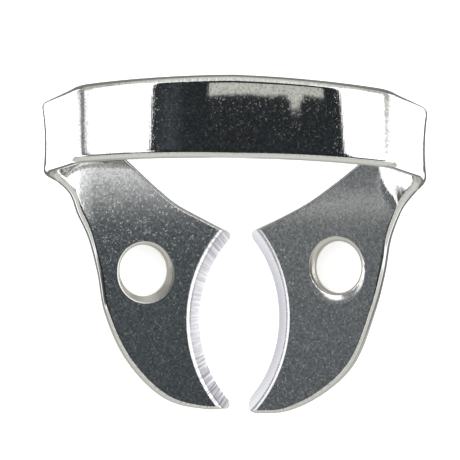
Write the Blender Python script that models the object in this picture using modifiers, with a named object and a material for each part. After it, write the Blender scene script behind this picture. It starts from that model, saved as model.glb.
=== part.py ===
"""Rubber dam clamp, one folded piece of spring steel sheet. Metres, +Z up.

The clamp is cut flat from sheet, bent into a bow with two jaws folded back under it,
drilled for the forceps and ground to two crescents that grip the tooth.
"""

from math import asin, atan2, cos, pi, radians, sin, tan

import bmesh
import bpy
from mathutils import Matrix, Vector

# Sheet
SHEET = 0.0008
EDGE_ROUND = 0.00028
EDGE_STEPS = 3

# Bow, seen from the front: a shallow arch, two tight shoulders, steep flanks and tight folds
HALF_WIDTH = 0.01245
SHOULDER_X = 0.0093
ARCH_RADIUS = 0.0231
SHOULDER_RADIUS = 0.0018
FLANK_ANGLE = radians(58)
FOLD_RADIUS = 0.0016
BOW_LEAN = radians(13)
FACE_LEAN = radians(14)
BOW_SKEW = 0.042

# Strap of the bow
STRAP_WIDTH_TOP = 0.0052
STRAP_WIDTH_SHOULDER = 0.00495
STRAP_WIDTH_FOLD = 0.0046
STRAP_CENTRE_Y = 0.0116

# Jaws
JAW_SLOPE = radians(23)

# Forceps holes
FORCEPS_BORE = 0.00355
FORCEPS_RIM = 0.0003

# Tooth crescents, ground to a bevel that faces up and inward
GRIP_RADIUS = 0.0078
GRIND_WIDTH = 0.00092
GRIND_LAND = 0.00008
RIDGE_ROUND = 0.0004

# Number of steps in each stretch of the bow
ARCH_STEPS = 14
SHOULDER_STEPS = 7
FLANK_STEPS = 4
FOLD_STEPS = 14
OUTLINE_STEP = 0.00035
TIP_STEPS = 5
HOLE_STEPS = 40
GRIP_STEPS = 120
RIM_STEPS = 4

# A cutter leaves the face it opens at this small angle, and runs on past it by this much
LEAVE_ANGLE = radians(9)
RUN_OUT = 0.0012

# Each jaw's outline on its own flat: distance from the middle line, then distance along it.
# The two jaws were finished by hand: the left crescent is deeper, the right front prong blunter.
JAWS = {
    "left": {
        "side": -1,
        "outer": [(0.01169, 0.00860), (0.01100, 0.00720), (0.01025, 0.00567), (0.00968, 0.00330),
                  (0.00925, 0.00066), (0.00772, -0.00253), (0.00530, -0.00504), (0.00275, -0.00595)],
        "front_corner": (0.00082, -0.00600),
        "front_round": 0.00045,
        "rear_corner": (0.00044, 0.00560),
        "rear_round": 0.00036,
        "rear": [(0.00268, 0.00674), (0.00433, 0.00763), (0.00559, 0.00864), (0.00765, 0.01055),
                 (0.01104, 0.01370)],
        "hole": (0.00670, 0.00326),
        "grip_centre": (-0.00501, -0.00025),
    },
    "right": {
        "side": 1,
        "outer": [(0.01180, 0.00720), (0.01125, 0.00625), (0.01068, 0.00485), (0.01028, 0.00293),
                  (0.00946, 0.00030), (0.00780, -0.00319), (0.00547, -0.00511), (0.00280, -0.00621)],
        "front_corner": (0.0, -0.00635),
        "front_round": 0.00075,
        "rear_corner": (0.00054, 0.00567),
        "rear_round": 0.00036,
        "rear": [(0.00288, 0.00657), (0.00494, 0.00750), (0.00646, 0.00841), (0.00905, 0.01017),
                 (0.01136, 0.01200)],
        "hole": (0.00706, 0.00322),
        "grip_centre": (-0.00544, 0.00025),
    },
}

STEEL_COLOR = (0.62, 0.62, 0.61, 1.0)
STEEL_ROUGHNESS = 0.16


def clear_scene():
    for old in list(bpy.data.objects):
        bpy.data.objects.remove(old, do_unlink=True)


def new_collection(name):
    collection = bpy.data.collections.new(name)
    bpy.context.scene.collection.children.link(collection)
    return collection


def steel():
    material = bpy.data.materials.new("polished_steel")
    material.use_nodes = True
    shader = material.node_tree.nodes["Principled BSDF"]
    shader.inputs["Base Color"].default_value = STEEL_COLOR
    shader.inputs["Metallic"].default_value = 1.0
    shader.inputs["Roughness"].default_value = STEEL_ROUGHNESS
    return material


def bow_stretches():
    """Length, radius (None when straight) and number of steps of each stretch from the bow's middle to the jaw."""
    arch_turn = asin(SHOULDER_X / ARCH_RADIUS)
    shoulder_turn = FLANK_ANGLE - arch_turn
    fold_turn = pi - FLANK_ANGLE - JAW_SLOPE
    shoulder_end_x = SHOULDER_X + SHOULDER_RADIUS * (sin(FLANK_ANGLE) - sin(arch_turn))
    fold_start_x = HALF_WIDTH - SHEET / 2 - FOLD_RADIUS * (1 - sin(FLANK_ANGLE))
    flank = (fold_start_x - shoulder_end_x) / cos(FLANK_ANGLE)
    return [
        (ARCH_RADIUS * arch_turn, ARCH_RADIUS, ARCH_STEPS),
        (SHOULDER_RADIUS * shoulder_turn, SHOULDER_RADIUS, SHOULDER_STEPS),
        (flank, None, FLANK_STEPS),
        (FOLD_RADIUS * fold_turn, FOLD_RADIUS, FOLD_STEPS),
    ]


def bend(distance, stretches):
    """X, Z and downward turn of the sheet's middle at a distance from the bow's middle, before it is set in place."""
    x, z, turn = 0.0, 0.0, 0.0
    left = distance
    for length, radius, _ in stretches:
        run = min(left, length)
        if radius is None:
            x += run * cos(turn)
            z -= run * sin(turn)
        else:
            end = turn + run / radius
            x += radius * (sin(end) - sin(turn))
            z += radius * (cos(end) - cos(turn))
            turn = end
        left -= run
        if left <= 0:
            return x, z, turn
    return x + left * cos(turn), z - left * sin(turn), turn


def mix(start, end, share):
    return start + (end - start) * share


class Sheet:
    """The bent sheet: it turns a point of the flat blank into a place on the finished clamp."""

    def __init__(self):
        self.stretches = bow_stretches()
        self.to_jaw = sum(length for length, _, _ in self.stretches)
        x, z, _ = bend(self.to_jaw, self.stretches)
        # The tops of both jaws meet in the middle line at the origin.
        self.jaw_start_q = (x - SHEET / 2 * sin(JAW_SLOPE)) / cos(JAW_SLOPE)
        self.rise = self.jaw_start_q * sin(JAW_SLOPE) - SHEET / 2 * cos(JAW_SLOPE) - z
        self.middle_q = self.to_jaw + self.jaw_start_q
        flank_end = self.to_jaw - self.stretches[3][0]
        quarter = flank_end + FOLD_RADIUS * (pi / 2 - FLANK_ANGLE)
        self.widest = quarter
        self.widest_z = self.height(quarter)

    def height(self, distance):
        return bend(distance, self.stretches)[1] + self.rise

    def stations(self):
        """Distances from the middle to the jaw at which the sheet gets a cross line."""
        marks = [0.0]
        for length, _, steps in self.stretches:
            start = marks[-1]
            marks += [start + length * step / steps for step in range(1, steps + 1)]
        return marks

    def strap_centre(self, distance, side):
        x, z, _ = bend(distance, self.stretches)
        lean = tan(BOW_LEAN) * (z + self.rise - self.widest_z)
        return STRAP_CENTRE_Y + lean - BOW_SKEW * side * x

    def strap_width(self, distance):
        arch_end = self.stretches[0][0]
        if distance < arch_end:
            return mix(STRAP_WIDTH_TOP, STRAP_WIDTH_SHOULDER, distance / arch_end)
        share = min((distance - arch_end) / (self.widest - arch_end), 1.0)
        return mix(STRAP_WIDTH_SHOULDER, STRAP_WIDTH_FOLD, share)

    def place(self, distance, y, side):
        x, z, _ = bend(distance, self.stretches)
        flank_start = self.stretches[0][0] + self.stretches[1][0]
        fade = 1 - max(0.0, min(1.0, (distance - flank_start) / (self.widest - flank_start)))
        tip = tan(FACE_LEAN) * fade * (y - self.strap_centre(distance, side))
        return Vector((side * x, y, z + self.rise - tip))


def smooth_line(points, step):
    """A smooth line through a few points, as points about a step apart."""
    points = [Vector(p) for p in points]
    padded = [2 * points[0] - points[1]] + points + [2 * points[-1] - points[-2]]
    line = []
    for before, start, end, after in zip(padded, padded[1:], padded[2:], padded[3:]):
        knots = [0.0]
        for a, b in ((before, start), (start, end), (end, after)):
            knots.append(knots[-1] + (b - a).length ** 0.5)
        count = max(1, round((end - start).length / step))
        for index in range(count):
            at = knots[1] + (knots[2] - knots[1]) * index / count
            line.append(through(before, start, end, after, knots, at))
    return line + [points[-1]]


def through(before, start, end, after, knots, at):
    k0, k1, k2, k3 = knots
    a = before.lerp(start, (at - k0) / (k1 - k0))
    b = start.lerp(end, (at - k1) / (k2 - k1))
    c = end.lerp(after, (at - k2) / (k3 - k2))
    d = a.lerp(b, (at - k0) / (k2 - k0))
    e = b.lerp(c, (at - k1) / (k3 - k1))
    return d.lerp(e, (at - k1) / (k2 - k1))


def rounded_corner(before, corner, after, radius):
    """The arc that rounds off a corner between two straight edges."""
    to_before = (before - corner).normalized()
    to_after = (after - corner).normalized()
    half = to_before.angle(to_after) / 2
    centre = corner + (to_before + to_after).normalized() * radius / sin(half)
    spoke = corner + to_before * radius / tan(half) - centre
    turn = (pi - 2 * half) * (-1 if to_before.cross(to_after) < 0 else 1)
    steps = [Matrix.Rotation(-turn * step / TIP_STEPS, 2) for step in range(TIP_STEPS + 1)]
    return [centre + step @ spoke for step in steps]


def jaw_outline(jaw, sheet):
    """The jaw's outline from the fold's front edge, round the prongs, to the fold's rear edge."""
    side = jaw["side"]
    fold_start = sheet.to_jaw - sheet.stretches[3][0]
    half = sheet.strap_width(fold_start) / 2
    start_q = sheet.middle_q - fold_start
    overlap = OUTLINE_STEP * 3
    centre = sheet.strap_centre(fold_start, side)
    centre_before = sheet.strap_centre(fold_start - overlap, side)
    front_corner, rear_corner = Vector(jaw["front_corner"]), Vector(jaw["rear_corner"])
    front_arc = rounded_corner(Vector(jaw["outer"][-1]), front_corner, rear_corner, jaw["front_round"])
    rear_arc = rounded_corner(front_corner, rear_corner, Vector(jaw["rear"][0]), jaw["rear_round"])
    front = [(start_q + overlap, centre_before - half), (start_q, centre - half)]
    rear = [(start_q, centre + half), (start_q + overlap, centre_before + half)]
    front_line = smooth_line(front + jaw["outer"] + [front_arc[0]], OUTLINE_STEP)
    rear_line = smooth_line([rear_arc[-1]] + jaw["rear"] + rear, OUTLINE_STEP)
    return front_line + front_arc[1:] + rear_arc[:-1] + rear_line


def crossing(line, q):
    """The line's Y where it passes a given distance from the middle line."""
    for a, b in zip(line, line[1:]):
        if (a[0] - q) * (b[0] - q) <= 0 and a[0] != b[0]:
            return a[1] + (b[1] - a[1]) * (q - a[0]) / (b[0] - a[0])
    raise ValueError("the outline doesn't reach the fold")


def blank(sheet):
    """The middle surface of the clamp: cross strips over the bow and the folds, and one flat face for each jaw."""
    grid = bmesh.new()
    marks = sheet.stations()
    fold_start = sheet.to_jaw - sheet.stretches[3][0]
    rows = {}
    for name, jaw in JAWS.items():
        side = jaw["side"]
        outline = jaw_outline(jaw, sheet)
        rear_line = list(reversed(outline))
        ends = []
        for distance in marks:
            centre = sheet.strap_centre(distance, side)
            half = sheet.strap_width(distance) / 2
            front, rear = centre - half, centre + half
            if distance > fold_start:
                q = sheet.middle_q - distance
                front, rear = crossing(outline, q), crossing(rear_line, q)
            if distance == 0 and side > 0:
                ends.append(rows["left"][0])
                continue
            ends.append([grid.verts.new(sheet.place(distance, y, side)) for y in (front, rear)])
        for near, far in zip(ends, ends[1:]):
            loop = [near[0], far[0], far[1], near[1]]
            grid.faces.new(loop if side > 0 else reversed(loop))
        rows[name] = ends
        inner = [p for p in outline if p[0] < sheet.jaw_start_q - OUTLINE_STEP / 4]
        verts = [grid.verts.new(sheet.place(sheet.middle_q - p[0], p[1], side)) for p in inner]
        loop = [ends[-1][0]] + verts + [ends[-1][1]]
        grid.faces.new(loop if side > 0 else reversed(loop))
    mesh = bpy.data.meshes.new("clamp_blank")
    bmesh.ops.recalc_face_normals(grid, faces=grid.faces)
    grid.to_mesh(mesh)
    grid.free()
    return mesh


def turned(name, profile, steps, collection):
    """A cutter turned about its own Z from a profile of radius and height, given from the top down."""
    mesh = bpy.data.meshes.new(name)
    mesh.from_pydata([(r, 0, h) for r, h in profile], [(i, i + 1) for i in range(len(profile) - 1)], [])
    cutter = bpy.data.objects.new(name, mesh)
    collection.objects.link(cutter)
    screw = cutter.modifiers.new("turn", "SCREW")
    screw.steps = steps
    screw.render_steps = steps
    screw.use_merge_vertices = True
    screw.merge_threshold = 0.000001
    cutter.hide_render = True
    cutter.display_type = "WIRE"
    return cutter


def rounded_rim(face_radius, fall, rounding):
    """The side of a cutter that leaves a rounded edge, from the wall up to the top face and out past it."""
    rim = []
    for step in range(RIM_STEPS + 1):
        angle = fall + (LEAVE_ANGLE - fall) * step / RIM_STEPS
        rim.append((face_radius - rounding * sin(angle), rounding * (cos(angle) - 1)))
    radius, height = rim[-1]
    return rim + [(radius + RUN_OUT * cos(LEAVE_ANGLE), height + RUN_OUT * sin(LEAVE_ANGLE))]


def hole_profile():
    """The forceps hole: a straight bore whose rims are rounded on both faces of the sheet."""
    upper = rounded_rim(FORCEPS_BORE / 2 + FORCEPS_RIM, pi / 2, FORCEPS_RIM)
    upper.append((0.0, upper[-1][1]))
    lower = [(radius, -SHEET - height) for radius, height in upper]
    return list(reversed(upper)) + lower


def grip_profile():
    """The crescent's grinding wheel: a cone that leaves a thin land below and a rounded ridge above."""
    fall = atan2(SHEET - GRIND_LAND, GRIND_WIDTH)
    tangent = RIDGE_ROUND * tan(fall / 2)
    rim = rounded_rim(GRIP_RADIUS + GRIND_WIDTH + tangent, fall, RIDGE_ROUND)
    rim.append((0.0, rim[-1][1]))
    foot = (GRIP_RADIUS, GRIND_LAND - SHEET)
    below = -SHEET - RUN_OUT / 2
    return list(reversed(rim)) + [foot, (GRIP_RADIUS, below), (0.0, below)]


def on_jaw(side, q, y):
    """A place on a jaw's top face, with its Z square to the face."""
    tilt = Matrix.Rotation(-side * JAW_SLOPE, 4, "Y")
    return Matrix.Translation((side * q * cos(JAW_SLOPE), y, q * sin(JAW_SLOPE))) @ tilt


def gap_middle():
    """X of the middle of the gap between the prongs of both jaws."""
    inner = [min(jaw["front_corner"][0], jaw["rear_corner"][0]) * jaw["side"] for jaw in JAWS.values()]
    return sum(inner) / 2 * cos(JAW_SLOPE)


def half_space(side, collection):
    """A block that keeps a cutter on its own side of the gap between the prongs."""
    size = 3 * HALF_WIDTH
    mesh = bpy.data.meshes.new("side_block")
    shape = bmesh.new()
    bmesh.ops.create_cube(shape, size=size)
    bmesh.ops.translate(shape, verts=shape.verts, vec=(gap_middle() + side * size / 2, 0, 0))
    shape.to_mesh(mesh)
    shape.free()
    block = bpy.data.objects.new("side_block", mesh)
    collection.objects.link(block)
    block.hide_render = True
    block.display_type = "WIRE"
    return block


def boolean(target, name, operation, other):
    cut = target.modifiers.new(name, "BOOLEAN")
    cut.operation = operation
    cut.solver = "EXACT"
    cut.object = other


def build():
    clear_scene()
    parts = new_collection("rubber_dam_clamp")
    cutters = new_collection("cutters")
    sheet = Sheet()
    clamp = bpy.data.objects.new("clamp_body", blank(sheet))
    parts.objects.link(clamp)

    thick = clamp.modifiers.new("sheet", "SOLIDIFY")
    thick.thickness = SHEET
    thick.offset = 0.0
    thick.use_even_offset = True
    edge = clamp.modifiers.new("tumbled_edge", "BEVEL")
    edge.width = EDGE_ROUND
    edge.segments = EDGE_STEPS
    edge.limit_method = "ANGLE"
    edge.angle_limit = radians(50)
    edge.use_clamp_overlap = False

    for name, jaw in JAWS.items():
        side = jaw["side"]
        hole = turned(name + "_hole_cutter", hole_profile(), HOLE_STEPS, cutters)
        hole.matrix_world = on_jaw(side, *jaw["hole"])
        boolean(clamp, name + "_hole", "DIFFERENCE", hole)
        grip = turned(name + "_grip_cutter", grip_profile(), GRIP_STEPS, cutters)
        grip.matrix_world = on_jaw(side, *jaw["grip_centre"])
        boolean(grip, "own_side", "INTERSECT", half_space(side, cutters))
        boolean(clamp, name + "_grip", "DIFFERENCE", grip)

    bpy.context.view_layer.update()
    graph = bpy.context.evaluated_depsgraph_get()
    finished = bpy.data.meshes.new_from_object(clamp.evaluated_get(graph))
    clamp.modifiers.clear()
    clamp.data = finished
    finished.materials.clear()
    finished.materials.append(steel())
    finished.shade_smooth()
    finished.set_sharp_from_angle(angle=radians(35))


build()
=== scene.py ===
from math import asin, atan2, cos, pi, radians, sin, tan

import bmesh
import bpy
from mathutils import Matrix, Vector


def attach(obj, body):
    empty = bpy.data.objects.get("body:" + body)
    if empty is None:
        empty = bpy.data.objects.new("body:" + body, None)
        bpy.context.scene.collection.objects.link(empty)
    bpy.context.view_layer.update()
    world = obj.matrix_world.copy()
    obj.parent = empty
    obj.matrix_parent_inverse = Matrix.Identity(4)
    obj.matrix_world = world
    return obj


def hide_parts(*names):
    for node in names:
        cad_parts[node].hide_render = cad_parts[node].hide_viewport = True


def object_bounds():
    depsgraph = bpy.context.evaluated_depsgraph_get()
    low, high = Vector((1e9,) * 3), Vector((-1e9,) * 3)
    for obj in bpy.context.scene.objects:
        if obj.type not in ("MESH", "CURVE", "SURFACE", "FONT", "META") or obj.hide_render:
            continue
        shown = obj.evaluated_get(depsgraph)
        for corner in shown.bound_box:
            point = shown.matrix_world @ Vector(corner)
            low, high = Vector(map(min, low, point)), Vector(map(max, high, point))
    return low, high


# Rubber dam clamp: one piece of spring steel sheet, drawn flat, bent by a node tree, then polished.
# Metres, +X from the left jaw to the right, +Y to the bow, +Z up. The origin is on the tooth's axis.


def hexColor(text, alpha=1.0):
    parts = [int(text[i:i + 2], 16) / 255 for i in (1, 3, 5)]
    linear = [c / 12.92 if c <= 0.04045 else ((c + 0.055) / 1.055) ** 2.4 for c in parts]
    return (*linear, alpha)


def feed(tree, node, inputs):
    # plain values and links; a node given as an input stands for its first output
    for key, value in inputs.items():
        if isinstance(value, bpy.types.Node):
            value = value.outputs[0]
        if isinstance(value, bpy.types.NodeSocket):
            tree.links.new(value, node.inputs[key])
        else:
            node.inputs[key].default_value = value


def addNode(tree, kind, inputs=None, **settings):
    node = tree.nodes.new(kind)
    for name, value in settings.items():
        setattr(node, name, value)
    feed(tree, node, inputs or {})
    return node


def newObject(name, data):
    made = bpy.data.objects.new(name, data)
    bpy.context.scene.collection.objects.link(made)
    return made


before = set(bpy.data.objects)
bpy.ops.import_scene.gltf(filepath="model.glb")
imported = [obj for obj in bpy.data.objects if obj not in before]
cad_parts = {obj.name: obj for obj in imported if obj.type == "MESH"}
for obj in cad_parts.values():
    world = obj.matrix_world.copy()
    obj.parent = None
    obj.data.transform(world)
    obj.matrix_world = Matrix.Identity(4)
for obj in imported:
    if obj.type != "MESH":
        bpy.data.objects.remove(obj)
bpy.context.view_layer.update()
print("frame loaded:", sorted(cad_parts))

clamp = {
    "sheet": 0.0008,
    "edgeRound": 0.00037,      # nearly a full round on both faces of the bow
    "jawEdge": 0.62,           # share of that on the jaws
    "edgeSteps": 6,
    "halfWidth": 0.01237,
    "shoulderInset": 0.00294,
    "archRadius": 0.0231,
    "shoulderRadius": 0.0018,
    "flankAngle": radians(58),
    "foldRadius": 0.0009,      # to the middle of the sheet
    "sweepRadius": 0.0100,     # the fold opens out into the jaw
    "sweepAngle": radians(16),
    "bowLean": radians(13),    # the bow leans back as it rises
    "faceLean": radians(14),   # and its face tips back too
    "bowSkew": 0.042,          # the left end lies a little further back
    "foldShift": 0.00013,      # the folds sit this far to the right
    "bowShift": 0.00035,       # and the bow's top this much more
    "topStretch": 0.00017,     # the strap thins out towards its rear edge
    "drawnEdge": 0.00045,      # over this width
    "runOut": (0.0095, 0.0020, 0.0011),   # where the right sweep starts to run out, over what, by how much
    "runOutEnd": 0.0018,       # and how far past the fold
    "crown": 0.00002,          # the strap's edges fall away by this much
    "edgeFall": 0.00004,       # and by this much more close to the edge
    "flare": 0.00022,          # at the folds they spring outwards instead
    "rightTurn": 0.05,         # the right fold is also turned a little
    "strapTop": 0.0052,
    "strapShoulder": 0.00495,
    "strapFold": 0.0046,
    "strapCentreY": 0.0116,
    "jawSlope": radians(23),
    "outlineStep": 0.00011,
    "tipSteps": 10,
    "acrossSteps": 10,
}
bowSteps = {"arch": 76, "shoulder": 30, "flank": 16, "fold": 36, "sweep": 24}
forceps = {"bore": 0.0034, "rim": {"left": 0.00022, "right": 0.00033}, "steps": 128}
# each rim was dressed differently: the left one has a narrow flat, the right one a soft hollow
dressedRim = {
    "left": {"radius": 0.00198, "round": 0.00022, "fall": radians(34), "shift": (-0.00005, -0.00021)},
    "right": {"radius": 0.00224, "round": 0.00600, "fall": radians(9), "shift": (0.0, -0.00034)},
}
grip = {"radius": 0.0078, "grindWidth": 0.00092, "land": 0.00008, "ridgeRound": 0.00065, "steps": 480}
cutterRun = {"leaveAngle": radians(2), "runOut": 0.0012, "rimSteps": 9}

# outlines on each jaw's own flat: distance from the middle line, distance along it
jaws = {
    "left": {
        "side": -1,
        "outer": [(0.01172, 0.00855), (0.01110, 0.00712), (0.01040, 0.00562), (0.00982, 0.00328),
                  (0.00938, 0.00060), (0.00789, -0.00267), (0.00538, -0.00515), (0.00276, -0.00593)],
        "frontCorner": (0.00082, -0.00598), "frontRound": 0.00048,
        "rearCorner": (0.00044, 0.00560), "rearRound": 0.00042,
        "rear": [(0.00268, 0.00674), (0.00433, 0.00763), (0.00559, 0.00864), (0.00765, 0.01055),
                 (0.01104, 0.01370)],
        "hole": (0.00670, 0.00333),
        "gripCentre": (-0.00501, -0.00025),
    },
    "right": {
        "side": 1,
        "outer": [(0.01180, 0.00720), (0.01125, 0.00625), (0.01068, 0.00485), (0.01028, 0.00293),
                  (0.00946, 0.00030), (0.00780, -0.00319), (0.00547, -0.00511), (0.00280, -0.00621)],
        "frontCorner": (0.0, -0.00635), "frontRound": 0.00075,
        "rearCorner": (0.00054, 0.00567), "rearRound": 0.00042,
        "rear": [(0.00288, 0.00657), (0.00494, 0.00750), (0.00646, 0.00841), (0.00905, 0.01017),
                 (0.01136, 0.01200)],
        "hole": (0.00697, 0.00324),
        "gripCentre": (-0.00544, 0.00025),
    },
}


def bendSizes():
    # length, curvature and start angle of each stretch, from the bow's middle to the jaw
    c = clamp
    shoulderX = c["halfWidth"] - c["shoulderInset"]
    archTurn = asin(shoulderX / c["archRadius"])
    shoulderTurn = c["flankAngle"] - archTurn
    foldTurn = pi - c["flankAngle"] - c["jawSlope"] - c["sweepAngle"]
    shoulderEnd = shoulderX + c["shoulderRadius"] * (sin(c["flankAngle"]) - sin(archTurn))
    foldStart = c["halfWidth"] - c["sheet"] / 2 - c["foldRadius"] * (1 - sin(c["flankAngle"]))
    flank = (foldStart - shoulderEnd) / cos(c["flankAngle"])
    return [
        ("arch", c["archRadius"] * archTurn, 1 / c["archRadius"]),
        ("shoulder", c["shoulderRadius"] * shoulderTurn, 1 / c["shoulderRadius"]),
        ("flank", flank, 0.0),
        ("fold", c["foldRadius"] * foldTurn, 1 / c["foldRadius"]),
        ("sweep", c["sweepRadius"] * c["sweepAngle"], 1 / c["sweepRadius"]),
    ]


stretches = bendSizes()


def bend(distance):
    # X, Z and downward turn of the middle of the sheet
    x, z, turn, left = 0.0, 0.0, 0.0, distance
    for name, length, curve in stretches + [("jaw", 1.0, 0.0)]:
        run = max(0.0, min(left, length))
        if curve:
            end = turn + run * curve
            x, z = x + (sin(end) - sin(turn)) / curve, z + (cos(end) - cos(turn)) / curve
            turn = end
        else:
            x, z = x + run * cos(turn), z - run * sin(turn)
        left -= length
        if left <= 0:
            break
    return x, z, turn


toJaw = sum(length for _, length, _ in stretches)
foldStart = sum(length for _, length, _ in stretches[:3])
foldEnd = toJaw - stretches[-1][1]
widest = foldStart + clamp["foldRadius"] * (pi / 2 - clamp["flankAngle"])
endX, endZ, _ = bend(toJaw)
slope = clamp["jawSlope"]
jawStart = (endX - clamp["sheet"] / 2 * sin(slope)) / cos(slope)
rise = jawStart * sin(slope) - clamp["sheet"] / 2 * cos(slope) - endZ
middleLine = toJaw + jawStart      # flat distance from the bow's middle to the clamp's middle line
widestZ = bend(widest)[1] + rise


def strapCentre(distance, side):
    x, z, _ = bend(distance)
    lean = tan(clamp["bowLean"]) * (z + rise - widestZ)
    return clamp["strapCentreY"] + lean - clamp["bowSkew"] * side * x


def strapWidth(distance):
    archEnd = stretches[0][1]
    if distance < archEnd:
        return clamp["strapTop"] + (clamp["strapShoulder"] - clamp["strapTop"]) * distance / archEnd
    share = min((distance - archEnd) / (widest - archEnd), 1.0)
    return clamp["strapShoulder"] + (clamp["strapFold"] - clamp["strapShoulder"]) * share


def smoothLine(points, step):
    # a centripetal curve through a few points, as points about a step apart
    points = [Vector(p) for p in points]
    padded = [2 * points[0] - points[1]] + points + [2 * points[-1] - points[-2]]
    line = []
    for p0, p1, p2, p3 in zip(padded, padded[1:], padded[2:], padded[3:]):
        k = [0.0]
        for a, b in ((p0, p1), (p1, p2), (p2, p3)):
            k.append(k[-1] + (b - a).length ** 0.5)
        count = max(1, round((p2 - p1).length / step))
        for i in range(count):
            t = k[1] + (k[2] - k[1]) * i / count
            a = p0.lerp(p1, (t - k[0]) / (k[1] - k[0]))
            b = p1.lerp(p2, (t - k[1]) / (k[2] - k[1]))
            c = p2.lerp(p3, (t - k[2]) / (k[3] - k[2]))
            d = a.lerp(b, (t - k[0]) / (k[2] - k[0]))
            e = b.lerp(c, (t - k[1]) / (k[3] - k[1]))
            line.append(d.lerp(e, (t - k[1]) / (k[2] - k[1])))
    return line + [points[-1]]


def roundedCorner(before, corner, after, radius):
    toBefore, toAfter = (before - corner).normalized(), (after - corner).normalized()
    half = toBefore.angle(toAfter) / 2
    centre = corner + (toBefore + toAfter).normalized() * radius / sin(half)
    spoke = corner + toBefore * radius / tan(half) - centre
    turn = (pi - 2 * half) * (-1 if toBefore.cross(toAfter) < 0 else 1)
    steps = clamp["tipSteps"]
    return [centre + Matrix.Rotation(-turn * i / steps, 2) @ spoke for i in range(steps + 1)]


def jawOutline(jaw):
    side, step = jaw["side"], clamp["outlineStep"]
    half = strapWidth(foldStart) / 2
    startQ, back = middleLine - foldStart, 0.001
    centre, centreBefore = strapCentre(foldStart, side), strapCentre(foldStart - back, side)
    frontCorner, rearCorner = Vector(jaw["frontCorner"]), Vector(jaw["rearCorner"])
    frontArc = roundedCorner(Vector(jaw["outer"][-1]), frontCorner, rearCorner, jaw["frontRound"])
    rearArc = roundedCorner(frontCorner, rearCorner, Vector(jaw["rear"][0]), jaw["rearRound"])
    front = [(startQ + back, centreBefore - half), (startQ, centre - half)]
    rear = [(startQ, centre + half), (startQ + back, centreBefore + half)]
    return (smoothLine(front + jaw["outer"] + [frontArc[0]], step) + frontArc[1:] + rearArc[:-1]
            + smoothLine([rearArc[-1]] + jaw["rear"] + rear, step))


def crossing(line, q):
    for a, b in zip(line, line[1:]):
        if (a[0] - q) * (b[0] - q) <= 0 and a[0] != b[0]:
            return a[1] + (b[1] - a[1]) * (q - a[0]) / (b[0] - a[0])
    raise ValueError("the outline doesn't reach the fold")


def flatBlank():
    # the sheet lies with its jaw tops up, so the left jaw is on +X; its middle is at Z 0
    grid = bmesh.new()
    marks = [0.0]
    for name, length, _ in stretches:
        start, steps = marks[-1], bowSteps[name]
        marks += [start + length * i / steps for i in range(1, steps + 1)]
    across = clamp["acrossSteps"]
    rows = {}
    for name, jaw in jaws.items():
        side = jaw["side"]
        outline = jawOutline(jaw)
        rearLine = list(reversed(outline))
        ends = []
        for distance in marks:
            if distance == 0 and "left" in rows:
                ends.append(rows["left"][0])
                continue
            centre, half = strapCentre(distance, side), strapWidth(distance) / 2
            front, rear = centre - half, centre + half
            if distance > foldStart:
                q = middleLine - distance
                front, rear = crossing(outline, q), crossing(rearLine, q)
            ends.append([grid.verts.new((-side * distance, front + (rear - front) * i / across, 0))
                         for i in range(across + 1)])
        for near, far in zip(ends, ends[1:]):
            for i in range(across):
                grid.faces.new([near[i], far[i], far[i + 1], near[i + 1]])
        rows[name] = ends
        inner = [p for p in outline if p[0] < jawStart - clamp["outlineStep"] / 3]
        rim = [grid.verts.new((-side * (middleLine - p[0]), p[1], 0)) for p in inner]
        grid.faces.new([ends[-1][0]] + rim + list(reversed(ends[-1][1:])))
    # the jaws' edges are sharper than the bow's
    share = grid.edges.layers.float.new("bevel_weight_edge")
    for edge in grid.edges:
        if edge.is_boundary:
            distance = (abs(edge.verts[0].co.x) + abs(edge.verts[1].co.x)) / 2
            onJaw = max(0.0, min((distance - widest) / (toJaw - widest), 1.0))
            edge[share] = 1 - onJaw * (1 - clamp["jawEdge"])
    for face in grid.faces:
        face.normal_update()
        if face.normal.z < 0:
            face.normal_flip()
    mesh = bpy.data.meshes.new("clampFlat")
    grid.to_mesh(mesh)
    grid.free()
    return mesh


def turnedCutter(name, profile, steps, place, material):
    mesh = bpy.data.meshes.new(name)
    mesh.from_pydata([(r, 0, h) for r, h in profile], [(i, i + 1) for i in range(len(profile) - 1)], [])
    mesh.materials.append(material)
    cutter = newObject(name, mesh)
    cutter.location = place
    screw = cutter.modifiers.new("turn", "SCREW")
    screw.steps = screw.render_steps = steps
    screw.use_merge_vertices = True
    screw.merge_threshold = 0.000001
    return cutter


def roundedRim(faceRadius, fall, rounding):
    leave, run, steps = cutterRun["leaveAngle"], cutterRun["runOut"], cutterRun["rimSteps"]
    rim = []
    for i in range(steps + 1):
        angle = fall + (leave - fall) * i / steps
        rim.append((faceRadius - rounding * sin(angle), rounding * (cos(angle) - 1)))
    radius, height = rim[-1]
    return rim + [(radius + run * cos(leave), height + run * sin(leave))]


def holeProfile(rim):
    upper = roundedRim(forceps["bore"] / 2 + rim, pi / 2, rim)
    upper.append((0.0, upper[-1][1]))
    return list(reversed(upper)) + [(r, -clamp["sheet"] - h) for r, h in upper]


def dressedProfile(dressing):
    rim = roundedRim(dressing["radius"], dressing["fall"], dressing["round"])
    radius, height = rim[0]
    inner = min(radius, forceps["bore"] / 2) * 0.85
    foot = (inner, height - (radius - inner) * tan(dressing["fall"]))
    top = rim[-1][1]
    return [(0.0, top)] + list(reversed(rim)) + [foot, (0.0, foot[1])]


def gripProfile():
    depth = clamp["sheet"] - grip["land"]
    fall = atan2(depth, grip["grindWidth"])
    tangent = grip["ridgeRound"] * tan(fall / 2)
    rim = roundedRim(grip["radius"] + grip["grindWidth"] + tangent, fall, grip["ridgeRound"])
    rim.append((0.0, rim[-1][1]))
    below = -clamp["sheet"] - cutterRun["runOut"] / 2
    return list(reversed(rim)) + [(grip["radius"], -depth), (grip["radius"], below), (0.0, below)]


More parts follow.
